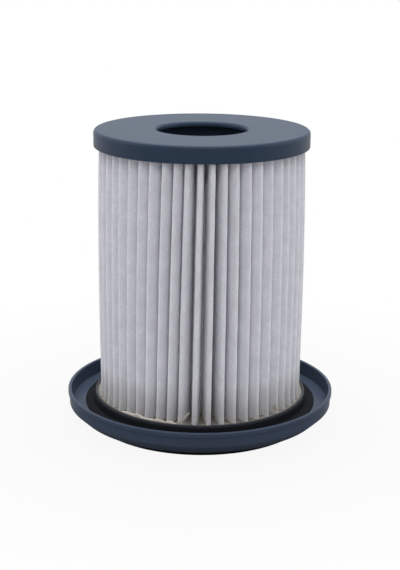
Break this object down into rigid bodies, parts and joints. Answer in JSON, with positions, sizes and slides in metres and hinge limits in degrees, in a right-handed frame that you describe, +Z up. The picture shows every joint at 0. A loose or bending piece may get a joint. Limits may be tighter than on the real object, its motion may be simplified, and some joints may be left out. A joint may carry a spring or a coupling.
{
  "type": "vacuum cleaner filter",
  "caption": "Upright pleated cylinder filter with a holed round cap, a wide dished flange with an upturned rim, soft seals and an open core, for a bagless vacuum cleaner.",
  "frame": {"origin": "centre of the outlet seal's sole, on the surface that the filter stands on", "axes": "+Z up along the filter's axis from the base to the cap, -Y towards the viewer of the picture"},
  "size_m": [0.12, 0.12, 0.1318],
  "materials": {
    "slate_plastic": "slate-blue moulded polypropylene with a fine spark-eroded texture",
    "white_nonwoven": "off-white nonwoven polyester, pleated, slightly fuzzy",
    "hot_melt": "beige hot-melt glue with a dull, lumpy surface",
    "black_rubber": "black soft rubber"
  },
  "bodies": {
    "root": {"top_cap": "slate_plastic", "pleated_media": "white_nonwoven", "upper_potting": "hot_melt", "lower_potting": "hot_melt", "support_core": "slate_plastic", "base_flange": "slate_plastic", "dish_seal": "black_rubber", "spigot_seal": "black_rubber"}
  },
  "joints": []
}
